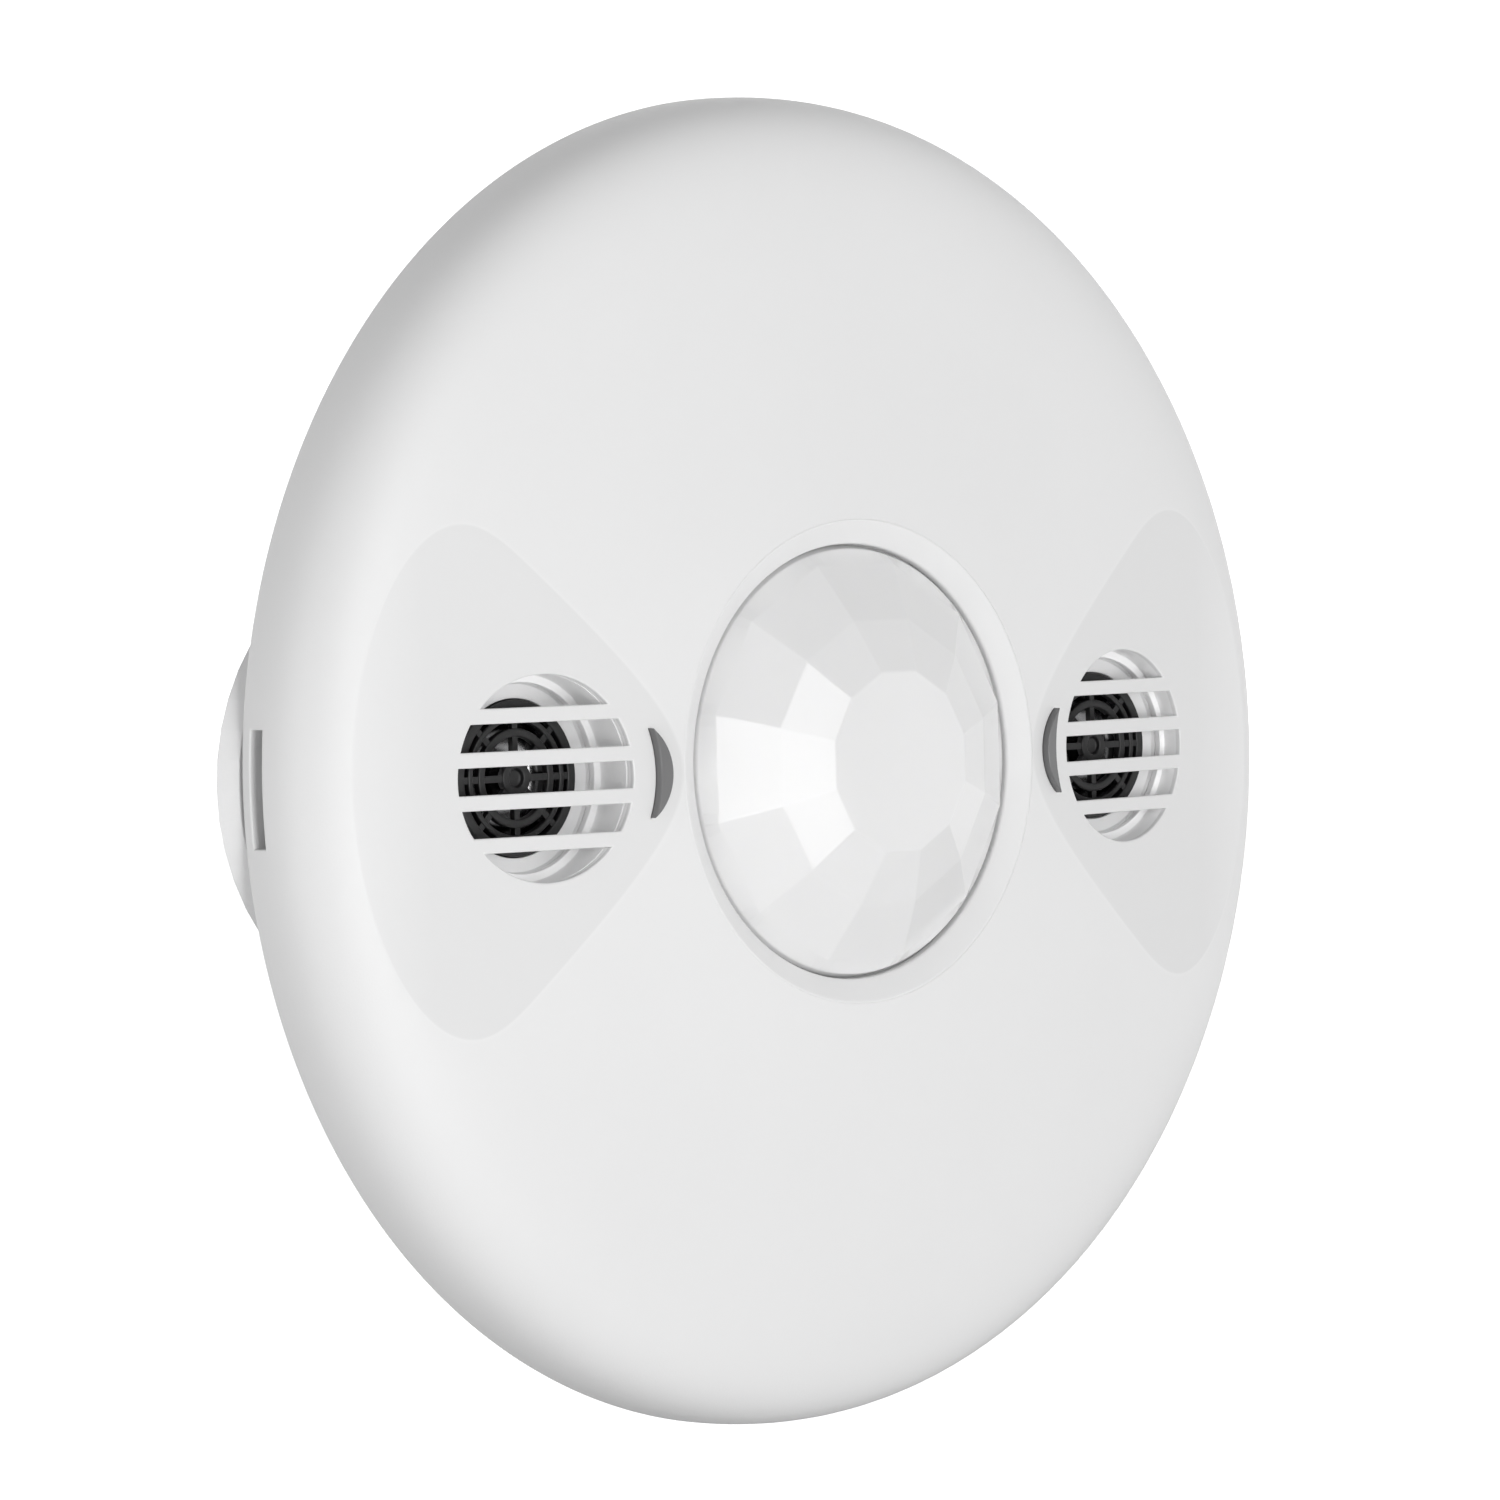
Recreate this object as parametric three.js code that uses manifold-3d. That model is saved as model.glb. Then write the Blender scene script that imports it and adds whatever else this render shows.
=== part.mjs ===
// Round ceiling-mount occupancy sensor: faceted infrared lens and two ultrasonic transducers.
// Millimetres. The sensor's axis is Y: the ceiling plane is y = 0 and the room is towards -Y.
// X runs through the two transducers, Z is the other direction across the cover.
import * as THREE from 'three';
import { mergeVertices } from 'three/addons/utils/BufferGeometryUtils.js';
import Module from 'manifold-3d';

const wasm = await Module();
wasm.setup();

// ---- driving dimensions ----
const CLEARANCE = 0.3; // gap left between pieces that touch
const ROUND = 64; // facets on the large circles

const COVER_RADIUS = 57.15; // 4.5 in across
const COVER_WALL = 2.2;
const RIM_Y = -1.8; // plane of the cover's open edge
const CROWN_DEPTH = 12.78; // rim plane to the edge of the lens dish
const DISH_RADIUS = 20.42;
const DISH_FLOOR = 11.66;
const LENS_HOLE_RADIUS = 18.5;
const SHOULDER = [[40, 10.73], [52.8, 9.39], [57, 8.7], [COVER_RADIUS, 0]]; // radius, depth

const FLAT_TILT = THREE.MathUtils.degToRad(7.61);
const GRILLE_X = 34.14;
const GRILLE_DEPTH = 10.97;
const GRILLE_RADIUS = 8.51;
const BAR_HEIGHT = 1.26;
const BAR_HEIGHTS = [-5.25, -1.745, 1.745, 5.25];
const COLLAR_WALL = 1.1;
const COLLAR_END = 7.3;

const CRESCENT = { inner: 10.75, centre: 8.9, outer: 4.1, tipX: 10, tipZ: 3.95 };
const CRESCENT_RECESS = 0.3; // smoked window's face below the flat
const SNAP_WINDOW = { halfLength: 4.8, near: 1.1, far: 2.4 };

const LENS_RINGS = [[7.85, 17.4], [12.4, 15.4], [17.3, 12.5]]; // radius, depth of each facet ring
const LENS_SIDES = 12;
const LENS_WALL = 0.8;
const LENS_BASE_RADIUS = 18.2;
const LENS_FLANGE = { radius: 20.6, top: 10.3, bottom: 9.4 };

const BASE_RADIUS = 55.3;
const BASE_THICKNESS = 1.5;
const EAR = { x: 39.1, radius: 19.2, chamfer: 1.1 };
const TUB = { radius: 44, wall: 1.8, ledge: -0.2, floor: 11.4, half: 38.5 };
const BOX_SCREW_Z = 44.45; // half of the 88.9 mm spacing of a round ceiling box
const LOCATING_RING = { inner: 52.8, outer: 54.2, height: 3.2 };

const BOARD = { radius: 41.2, half: 36.2, front: 1.0, back: 2.6 };
const BOARD_SCREWS = [[-28, -24], [28, -24], [-28, 24], [28, 24]];
const SEAT_Y = BOARD.front - CLEARANCE; // underside of what stands on the board's front
const TERMINAL = { count: 4, pitch: 5.08, width: 9, z: -15, top: 12.0 };

const TRANSDUCER_RADIUS = 6.5;
const TRANSDUCER_FACE = 7.2;
const HOLDER = { radius: 8.9, lip: 6.8, collar: 9.9, collarHeight: 0.8 };

const TRIMPOT_Z = 25;
const TRIMPOTS = [['time_delay', -19.5], ['pir_sensitivity', -6.5],
  ['ultrasonic_sensitivity', 6.5], ['light_level', 19.5]];
const DIP = { x: -11, z: -27, count: 4, pitch: 2.54, travel: 1.6, depth: 6.4, height: 3.2 };

// ---- materials ----
const finish = (color, roughness, metalness = 0) => ({ color, roughness, metalness });
const WHITE_ABS = finish(0xe9e9ea, 0.38);
const LENS_WHITE = finish(0xeeeeee, 0.3);
const SMOKED = finish(0x77787a, 0.25);
const BLACK_PLASTIC = finish(0x17181a, 0.45);
const DARK_METAL = finish(0x2b2c2e, 0.4, 0.8);
const BRIGHT_METAL = finish(0xc9cacb, 0.28, 1);
const FIBREGLASS = finish(0x1d5b38, 0.5);
const TRIMPOT_BLUE = finish(0x2a57a5, 0.5);
const ROTOR_WHITE = finish(0xe8e3d6, 0.5);
const DIP_RED = finish(0xa8231f, 0.45);
const RELAY_BLUE = finish(0x2f6fb0, 0.45);
const TERMINAL_GREEN = finish(0x3f8f4c, 0.5);

const sensor = new THREE.Group();

// ---- helpers ----
const at = (depth) => RIM_Y - depth; // y of a place that far in front of the rim plane

function addPart(name, shape, look, parent = sensor) {
  const geometry = shape.isBufferGeometry ? shape : fromSolid(shape);
  const mesh = new THREE.Mesh(geometry, new THREE.MeshStandardMaterial(look));
  mesh.name = name;
  parent.add(mesh);
  return mesh;
}

function solid(geometry) {
  const bare = geometry.clone();
  bare.deleteAttribute('normal');
  bare.deleteAttribute('uv');
  const merged = mergeVertices(bare, 1e-4);
  const corners = [...merged.index.array];
  const kept = [];
  for (let i = 0; i < corners.length; i += 3) {
    const [a, b, c] = corners.slice(i, i + 3);
    if (a !== b && b !== c && c !== a) kept.push(a, b, c);
  }
  return new wasm.Manifold(new wasm.Mesh({
    numProp: 3,
    vertProperties: merged.attributes.position.array,
    triVerts: new Uint32Array(kept),
  }));
}

function fromSolid(body) {
  const mesh = body.getMesh();
  const geometry = new THREE.BufferGeometry();
  geometry.setAttribute('position', new THREE.BufferAttribute(mesh.vertProperties, 3));
  geometry.setIndex(new THREE.BufferAttribute(mesh.triVerts, 1));
  return geometry;
}

const unite = (pieces) => pieces.reduce((all, piece) => all.add(piece));

// Turned body about the Y axis; points are [radius, y] with y falling along the outline.
function turned(points, sides = 24, x = 0, z = 0) {
  const outline = points.map(([radius, y]) => new THREE.Vector2(radius, y));
  return solid(new THREE.LatheGeometry(outline, sides).translate(x, 0, z));
}

function disc(radius, yLow, yHigh, sides = 24, x = 0, z = 0) {
  const height = yHigh - yLow;
  return solid(new THREE.CylinderGeometry(radius, radius, height, sides)
    .translate(x, yLow + height / 2, z));
}

function ring(inner, outer, yLow, yHigh, sides = 32, x = 0, z = 0) {
  return disc(outer, yLow, yHigh, sides, x, z).subtract(disc(inner, yLow - 1, yHigh + 1, sides, x, z));
}

function block(xRange, yRange, zRange) {
  const size = [xRange, yRange, zRange].map(([low, high]) => high - low);
  const centre = [xRange, yRange, zRange].map(([low, high]) => (low + high) / 2);
  return solid(new THREE.BoxGeometry(...size).translate(...centre));
}

const around = (centre, half) => [centre - half, centre + half];

// Outline drawn in X and Z, extruded along Y.
function slab(outline, yLow, yHigh, sides = 12) {
  const options = { depth: yHigh - yLow, bevelEnabled: false, curveSegments: sides };
  const shape = new THREE.ExtrudeGeometry(outline, options).rotateX(Math.PI / 2);
  return solid(shape.translate(0, yHigh, 0));
}

// ---- cover ----
function shoulderPoints(inset, steps) {
  const curve = new THREE.CubicBezierCurve(...SHOULDER.map(([r, d]) => new THREE.Vector2(r, d)));
  const points = [];
  for (let i = 0; i <= steps; i += 1) {
    const place = curve.getPoint(i / steps);
    const along = curve.getTangent(i / steps);
    points.push([place.x + along.y * inset, place.y - along.x * inset]);
  }
  return points;
}

function coverBlank() {
  const outer = shoulderPoints(0, 8).map(([radius, depth]) => [radius, at(depth)]);
  return turned([[0, at(CROWN_DEPTH)], [DISH_RADIUS, at(CROWN_DEPTH)], ...outer, [0, RIM_Y]], ROUND);
}

function coverHollow() {
  const inner = shoulderPoints(COVER_WALL, 5).map(([radius, depth]) => [radius, at(depth)]);
  const roof = at(CROWN_DEPTH - COVER_WALL);
  inner[inner.length - 1][1] = RIM_Y + 1;
  return turned([[0, roof], [DISH_RADIUS, roof], ...inner, [0, RIM_Y + 1]], ROUND);
}

// The half-space in front of one tilted flat; side is -1 for the left one.
function aboveFlat(side) {
  const shape = new THREE.BoxGeometry(80, 10, 130).translate(0, -5, 0);
  shape.rotateZ(side * FLAT_TILT).translate(side * GRILLE_X, at(GRILLE_DEPTH), 0);
  return solid(shape);
}

// Moves a shape drawn about the left grille's centre to either side.
function place(shape, side) {
  return side < 0
    ? shape.translate([-GRILLE_X, 0, 0])
    : shape.rotate([0, 180, 0]).translate([GRILLE_X, 0, 0]);
}

function grilleCutter() {
  const bars = BAR_HEIGHTS.map((z) => block([-10, 10], [-20, 0], around(z, BAR_HEIGHT / 2)));
  return disc(GRILLE_RADIUS, at(15), at(COLLAR_END - 1), 32).subtract(unite(bars));
}

// The crescent lies between an arc about the grille's centre and a smaller, bulging arc.
function crescentOutline(gap = 0) {
  const { inner, centre, outer, tipX, tipZ } = CRESCENT;
  const bulge = Math.atan2(tipZ, tipX - centre);
  const hollow = Math.atan2(tipZ, tipX);
  const shrink = gap * 3; // the thin tips draw back further than the sides
  const end = (tipZ - shrink) / tipZ;
  const outline = new THREE.Shape();
  outline.absarc(centre, 0, outer - gap, -bulge * end, bulge * end, false);
  outline.absarc(0, 0, inner + gap, hollow * end, -hollow * end, true);
  return outline;
}

function frontCover() {
  let cover = coverBlank().subtract(coverHollow());
  const dish = turned([[0, at(20)], [DISH_RADIUS, at(20)], [DISH_RADIUS, at(CROWN_DEPTH)],
    [LENS_HOLE_RADIUS, at(DISH_FLOOR)], [LENS_HOLE_RADIUS, at(8)], [0, at(8)]], ROUND);
  cover = cover.subtract(dish);
  for (const side of [-1, 1]) {
    const collar = ring(GRILLE_RADIUS, GRILLE_RADIUS + COLLAR_WALL, at(9.6), at(COLLAR_END));
    const crescent = slab(crescentOutline(), at(16), at(6), 8);
    const window = block([-60, -50], [at(SNAP_WINDOW.far), at(SNAP_WINDOW.near)],
      around(0, SNAP_WINDOW.halfLength));
    cover = cover.subtract(aboveFlat(side)).add(place(collar, side));
    cover = cover.subtract(place(grilleCutter(), side)).subtract(place(crescent, side));
    cover = cover.subtract(side < 0 ? window : window.rotate([0, 180, 0]));
  }
  return cover;
}

// ---- lens ----
function facetted(points) {
  return turned(points, LENS_SIDES).rotate([0, 180 / LENS_SIDES, 0]);
}

function pirLens() {
  const { radius, top, bottom } = LENS_FLANGE;
  const rings = LENS_RINGS.map(([r, d]) => [r, at(d)]);
  const inside = LENS_RINGS.map(([r, d]) => [r - LENS_WALL / 2, at(d - LENS_WALL)]);
  const waist = LENS_RINGS[2][0];
  const faces = facetted([[0, rings[0][1]], ...rings, [waist, at(11.5)], [0, at(11.5)]]);
  const skirt = turned([[0, at(11.9)], [waist - 0.6, at(11.9)], [LENS_BASE_RADIUS, at(DISH_FLOOR)],
    [LENS_BASE_RADIUS, at(top)], [radius, at(top)], [radius, at(bottom)], [0, at(bottom)]], 48);
  const hollow = facetted([[0, inside[0][1]], ...inside, [waist - LENS_WALL, at(bottom - 1)],
    [0, at(bottom - 1)]]);
  return faces.add(skirt).subtract(hollow);
}

function lensRetainer() {
  const { radius, bottom } = LENS_FLANGE;
  const opening = LENS_RINGS[2][0] - LENS_WALL;
  const band = ring(opening, radius, at(bottom - CLEARANCE), at(bottom - 1.8), 32);
  const notches = [0, 60, 120].map((turn) => block([-30, 30], [at(bottom - 0.9), 0], [-1.2, 1.2])
    .rotate([0, turn, 0]));
  return notches.reduce((left, notch) => left.subtract(notch), band);
}

function indicatorWindow(side) {
  const body = slab(crescentOutline(CLEARANCE), at(CROWN_DEPTH + 1), at(COLLAR_END), 8);
  return place(body, side).subtract(aboveFlat(side).translate([0, CRESCENT_RECESS, 0]));
}

// ---- mounting base ----
function baseTub() {
  const { radius, wall, ledge, floor, half } = TUB;
  const outer = disc(radius, ledge, floor, ROUND)
    .intersect(block([-60, 60], [-20, 20], [-half, half]));
  const inner = disc(radius - wall, -5, floor - wall, ROUND)
    .intersect(block([-60, 60], [-20, 20], [wall - half, half - wall]));
  return { outer, inner };
}

function locatingRing() {
  const { inner, outer, height } = LOCATING_RING;
  const whole = ring(inner, outer, -BASE_THICKNESS - height, -BASE_THICKNESS / 2, ROUND);
  return whole.subtract(block([-60, 60], [-20, -BASE_THICKNESS], [-20, 20]));
}

function mountingBase() {
  const { outer, inner } = baseTub();
  let base = disc(BASE_RADIUS, -BASE_THICKNESS, 0, ROUND).add(locatingRing());
  for (const side of [-1, 1]) {
    const ear = turned([[0, -BASE_THICKNESS], [EAR.radius - EAR.chamfer, -BASE_THICKNESS],
      [EAR.radius, 0], [0, 0]], 48);
    base = base.add(ear.translate([side * EAR.x, 0, 0]));
    base = base.subtract(disc(2.4, -5, 5, 20, 0, side * BOX_SCREW_Z));
    base = base.subtract(disc(HOLDER.radius + CLEARANCE, -5, 5, 32, side * GRILLE_X, 0));
  }
  base = base.add(outer).subtract(inner);
  for (const [x, z] of BOARD_SCREWS) {
    base = base.add(disc(3, BOARD.back + CLEARANCE, TUB.floor - 1, 16, x, z));
    base = base.subtract(disc(1.4, BOARD.back, TUB.floor - 2.5, 12, x, z));
  }
  const half = TERMINAL.count * TERMINAL.pitch / 2;
  const opening = block([-half - 1, half + 1], [5, 20], [TERMINAL.z - 14, TERMINAL.z + 5]);
  return base.subtract(opening);
}

function panScrew(headRadius, headHeight, shankRadius, length) {
  const body = turned([[0, -headHeight], [headRadius * 0.6, -headHeight], [headRadius, -headHeight * 0.45],
    [headRadius, 0], [shankRadius, 0], [shankRadius, length - 1], [0, length]], 12);
  const slotHalf = headRadius * 0.14;
  const reach = headRadius * 0.6;
  const cross = unite([block([-reach, reach], [-headHeight - 1, -headHeight * 0.5], [-slotHalf, slotHalf]),
    block([-slotHalf, slotHalf], [-headHeight - 1, -headHeight * 0.5], [-reach, reach])]);
  return body.subtract(cross);
}

// ---- snap latches ----
// A springy tongue that follows the inside of the cover's skirt, rooted on a foot at one end.
function snapLatch() {
  const tongue = ring(52.7, 53.9, at(3.2), at(0.7), ROUND)
    .intersect(block([-60, 0], [-20, 0], [-5.4, 17.5]));
  const nose = ring(53.5, 54.55, at(SNAP_WINDOW.far - 0.1), at(SNAP_WINDOW.near + 0.1), ROUND)
    .intersect(block([-60, 0], [-20, 0], around(0, SNAP_WINDOW.halfLength - 0.3)));
  const foot = ring(50.7, 53.9, at(3.2), RIM_Y, ROUND)
    .intersect(block([-60, 0], [-20, 0], [14.5, 17.5]));
  return unite([tongue, nose, foot]);
}

// ---- ultrasonic transducers ----
function transducerHolder() {
  const { radius, lip, collar, collarHeight } = HOLDER;
  const bore = TRANSDUCER_RADIUS + CLEARANCE;
  const top = at(COLLAR_END - CLEARANCE);
  const foot = TUB.ledge - CLEARANCE;
  return turned([[bore, foot], [bore, at(lip)], [bore + 0.9, at(lip)], [bore + 0.9, top], [collar, top],
    [collar, top + collarHeight], [radius, top + collarHeight], [radius, foot], [bore, foot]], 32);
}

function transducerCan() {
  const top = at(TRANSDUCER_FACE - 1.0);
  const outer = TRANSDUCER_RADIUS - 0.1;
  const inner = outer - 0.4;
  return turned([[0, -2.2], [inner, -2.2], [inner, top], [outer, top], [outer, -1.2], [0, -1.2]], 24);
}

function transducerGrille() {
  const front = at(TRANSDUCER_FACE);
  const back = front + 0.7;
  const rings = [[5.6, TRANSDUCER_RADIUS], [4.7, 5.2], [3.4, 4.1], [0.7, 1.5]];
  const bands = rings.map(([inner, outer]) => ring(inner, outer, front, back, 16));
  const spokes = [0, 45, 90, 135].map((turn) => block([-6, 6], [front, back], [-0.3, 0.3])
    .rotate([0, turn, 0]));
  return unite([...bands, ...spokes]).subtract(disc(0.7, front - 1, back + 1, 16));
}

function transducerCone() {
  const mouth = at(TRANSDUCER_FACE - 1.3);
  return turned([[0, -3.2], [1.6, -3.2], [5.2, mouth], [5.5, mouth], [1.9, -2.6], [0, -2.6]], 24);
}

function transducerPins() {
  const plate = disc(5.6, -0.9, -0.3, 20);
  return unite([plate, ...[-2.54, 2.54].map((x) => disc(0.5, -0.5, SEAT_Y, 8, x))]);
}

function addTransducer(side, word) {
  const group = new THREE.Group();
  group.position.x = side * GRILLE_X;
  addPart('transducer_holder_' + word, transducerHolder(), WHITE_ABS, group);
  addPart('transducer_can_' + word, transducerCan(), DARK_METAL, group);
  addPart('transducer_grille_' + word, transducerGrille(), BLACK_PLASTIC, group);
  addPart('transducer_cone_' + word, transducerCone(), BRIGHT_METAL, group);
  addPart('transducer_pin_base_' + word, transducerPins(), BLACK_PLASTIC, group);
  sensor.add(group);
}

// ---- infrared detector ----
function pirCan() {
  const can = turned([[0, -6.0], [4.5, -6.0], [4.5, -1.9], [5.1, -1.9], [5.1, -1.3], [0, -1.3]], 24);
  return can.subtract(block([-2.6, 2.6], [-7, -5.2], [-2, 2]));
}

function addPirDetector() {
  addPart('pir_detector_can', pirCan(), BRIGHT_METAL);
  addPart('pir_detector_window', block([-2.3, 2.3], [-5.9, -5.5], [-1.7, 1.7]), DARK_METAL);
  addPart('pir_detector_spacer', ring(1.5, 4.8, -1.0, SEAT_Y, 24), ROTOR_WHITE);
}

// ---- board and what stands on it ----
function mainBoard() {
  const { radius, half, front, back } = BOARD;
  const outline = disc(radius, front, back, 48).intersect(block([-60, 60], [0, 5], [-half, half]));
  return BOARD_SCREWS.reduce((board, [x, z]) => board.subtract(disc(1.5, 0, 5, 12, x, z)), outline);
}

function trimpotBody() {
  const body = block([-3.3, 3.3], [-3.3, SEAT_Y], [-3.3, 3.3]);
  return body.subtract(disc(2.7, -5, -2.6, 24));
}

function trimpotRotor() {
  const rotor = disc(2.3, -4.2, -2.9, 24);
  const slot = block([-2.6, 1.9], [-6, -3.6], [-0.35, 0.35]);
  const head = block([-1.9, -1.1], [-6, -3.6], [-1, 1]);
  return rotor.subtract(slot).subtract(head);
}

function addTrimpots() {
  for (const [name, x] of TRIMPOTS) {
    const group = new THREE.Group();
    group.position.set(x, 0, TRIMPOT_Z);
    addPart(name + '_trimpot', trimpotBody(), TRIMPOT_BLUE, group);
    addPart(name + '_rotor', trimpotRotor(), ROTOR_WHITE, group);
    sensor.add(group);
  }
}

const dipSlots = () => Array.from({ length: DIP.count }, (_, i) => (i - (DIP.count - 1) / 2) * DIP.pitch);

function dipHousing() {
  const top = SEAT_Y - DIP.height;
  const half = DIP.count * DIP.pitch / 2 + 0.4;
  const wells = dipSlots().map((x) => block(around(x, 0.85), [top - 1, top + 1.2], around(0, 1.8)));
  return wells.reduce((body, well) => body.subtract(well),
    block([-half, half], [top, SEAT_Y], around(0, DIP.depth / 2)));
}

function addDipSwitch() {
  const group = new THREE.Group();
  group.position.set(DIP.x, 0, DIP.z);
  addPart('dip_switch_housing', dipHousing(), DIP_RED, group);
  const top = SEAT_Y - DIP.height;
  dipSlots().forEach((x, i) => {
    const slider = block(around(x, 0.55), [top - 0.4, top + 0.9], around(-DIP.travel / 2, 0.7));
    addPart('dip_slider_' + (i + 1), slider, ROTOR_WHITE, group);
  });
  sensor.add(group);
}

function chip(width, length, height) {
  const body = block([-width / 2, width / 2], [SEAT_Y - height, SEAT_Y], [-length / 2, length / 2]);
  return body.subtract(disc(0.7, SEAT_Y - height - 1, SEAT_Y - height + 0.3, 12, 1.6 - width / 2,
    length / 2 - 1.6));
}

function capacitor() {
  return turned([[0, -6.2], [2.2, -6.2], [2.6, -6.6], [3.15, -6.1], [3.15, -1.0], [2.9, -0.6],
    [3.15, -0.2], [3.15, SEAT_Y], [0, SEAT_Y]], 14);
}

function relay() {
  const outline = new THREE.Shape();
  outline.moveTo(-9, -5).lineTo(9, -5).lineTo(10, -4).lineTo(10, 4).lineTo(9, 5).lineTo(-9, 5);
  outline.lineTo(-10, 4).lineTo(-10, -4).closePath();
  return slab(outline, -8.6, SEAT_Y);
}

function led() {
  return turned([[0, -6.6], [0.8, -6.35], [1.3, -5.8], [1.5, -5.1], [1.5, -1.6], [1.9, -1.6],
    [1.9, -0.7], [1.0, -0.7], [1.0, SEAT_Y], [0, SEAT_Y]], 12);
}

function lightDetector() {
  return turned([[0, -4.4], [2.2, -4.4], [2.5, -4.1], [2.5, -2.2], [1.2, -2.2], [1.2, SEAT_Y],
    [0, SEAT_Y]], 16);
}

function addBoardParts() {
  addPart('main_board', mainBoard(), FIBREGLASS);
  addPart('relay', relay(), RELAY_BLUE).position.set(10.5, 0, -14);
  addPart('control_chip', chip(9, 9, 1.6), BLACK_PLASTIC).position.set(-12, 0, -12.5);
  addPart('amplifier_chip', chip(5, 8.6, 1.6), BLACK_PLASTIC).position.set(-12, 0, 12.5);
  addPart('filter_capacitor_1', capacitor(), BLACK_PLASTIC).position.set(6, 0, 14);
  addPart('filter_capacitor_2', capacitor(), BLACK_PLASTIC).position.set(14, 0, 14);
  addPart('indicator_led_left', led(), SMOKED).position.x = -21.4;
  addPart('indicator_led_right', led(), SMOKED).position.x = 21.4;
  addPart('light_detector', lightDetector(), DIP_RED).position.set(0, 0, 9);
  BOARD_SCREWS.forEach(([x, z], i) => {
    const y = BOARD.front - CLEARANCE;
    addPart('board_screw_' + (i + 1), panScrew(2.5, 1.8, 1.1, 7.5), BRIGHT_METAL).position.set(x, y, z);
  });
}

// ---- terminal block at the back ----
function terminalBlock() {
  const { count, pitch, width, top } = TERMINAL;
  const half = count * pitch / 2;
  let body = block([-half, half], [BOARD.back + CLEARANCE, top], [-width / 2, width / 2]);
  for (let i = 0; i < count; i += 1) {
    const x = (i - (count - 1) / 2) * pitch;
    const entry = block(around(x, 1.7), [7.2, 10.6], [-width, -1.2]);
    const well = disc(1.9, top - 2.6, top + 1, 16, x, 1.2);
    body = body.subtract(entry).subtract(well);
  }
  return body;
}

function addTerminals() {
  const { count, pitch, z, top } = TERMINAL;
  addPart('terminal_block', terminalBlock(), TERMINAL_GREEN).position.z = z;
  for (let i = 0; i < count; i += 1) {
    const x = (i - (count - 1) / 2) * pitch;
    const head = disc(1.55, top - 2.3, top - 0.8, 16)
      .subtract(block([-2, 2], [top - 1.5, top + 1], [-0.25, 0.25]));
    addPart('terminal_screw_' + (i + 1), head, BRIGHT_METAL).position.set(x, 0, z + 1.2);
  }
}

// ---- assembly ----
addPart('front_cover', frontCover(), WHITE_ABS);
addPart('pir_lens', pirLens(), LENS_WHITE);
addPart('lens_retainer', lensRetainer(), WHITE_ABS);
addPart('indicator_window_left', indicatorWindow(-1), SMOKED);
addPart('indicator_window_right', indicatorWindow(1), SMOKED);
addPart('mounting_base', mountingBase(), WHITE_ABS);
addPart('snap_latch_left', snapLatch(), WHITE_ABS);
addPart('snap_latch_right', snapLatch(), WHITE_ABS).rotation.y = Math.PI;
for (const [word, z] of [['top', BOX_SCREW_Z], ['bottom', -BOX_SCREW_Z]]) {
  const screw = addPart('mounting_screw_' + word, panScrew(4, 2.4, 1.9, 15), BRIGHT_METAL);
  screw.position.set(0, -BASE_THICKNESS - CLEARANCE, z);
}
addTransducer(-1, 'left');
addTransducer(1, 'right');
addPirDetector();
addBoardParts();
addTrimpots();
addDipSwitch();
addTerminals();

export default sensor;
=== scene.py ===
"""Looks of a round ceiling occupancy sensor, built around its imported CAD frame.

Lengths are millimetres up to the moment a mesh is made; light and floor sizes are metres. The
sensor's axis is Y, the ceiling plane is y = 0 and the room is towards -Y. A "depth" is a distance
in front of the cover's rim plane.
"""

import math

import bpy
import numpy as np
from mathutils import Matrix, Vector, geometry, kdtree


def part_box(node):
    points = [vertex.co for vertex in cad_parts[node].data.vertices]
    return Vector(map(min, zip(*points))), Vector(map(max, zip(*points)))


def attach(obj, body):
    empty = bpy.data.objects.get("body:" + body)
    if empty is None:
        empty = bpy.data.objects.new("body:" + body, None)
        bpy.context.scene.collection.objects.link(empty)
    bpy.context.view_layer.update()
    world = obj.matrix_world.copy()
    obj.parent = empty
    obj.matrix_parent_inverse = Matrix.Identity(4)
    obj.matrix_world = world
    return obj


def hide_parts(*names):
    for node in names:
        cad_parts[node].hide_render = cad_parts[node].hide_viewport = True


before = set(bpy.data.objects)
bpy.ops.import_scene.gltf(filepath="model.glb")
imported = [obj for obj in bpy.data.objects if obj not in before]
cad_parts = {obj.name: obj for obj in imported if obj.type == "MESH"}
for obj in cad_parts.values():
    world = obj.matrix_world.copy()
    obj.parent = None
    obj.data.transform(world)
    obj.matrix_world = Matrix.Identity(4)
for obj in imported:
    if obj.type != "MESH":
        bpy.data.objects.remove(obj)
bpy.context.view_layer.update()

MM = 0.001

# ---- cover sizes ----
cover_low, cover_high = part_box("front_cover")
RIM_Y = cover_high.y / MM
COVER_RADIUS = cover_high.x / MM
CROWN_DEPTH = RIM_Y - cover_low.y / MM
WALL = 2.0
HOLE_EDGE = 0.14  # rounding of moulded hole edges
RIM_EDGE = 0.3

DISH_RADIUS = 20.42
DISH_FLOOR = 11.66
DISH_EDGE = 0.22
LENS_HOLE_RADIUS = 18.5
DOME_START = 20.62  # radius where the dome's skin begins, just outside the dish
SHOULDER = [(40, 10.73), (52.8, 9.39), (57, 8.7), (COVER_RADIUS, 0.3)]  # radius, depth

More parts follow.
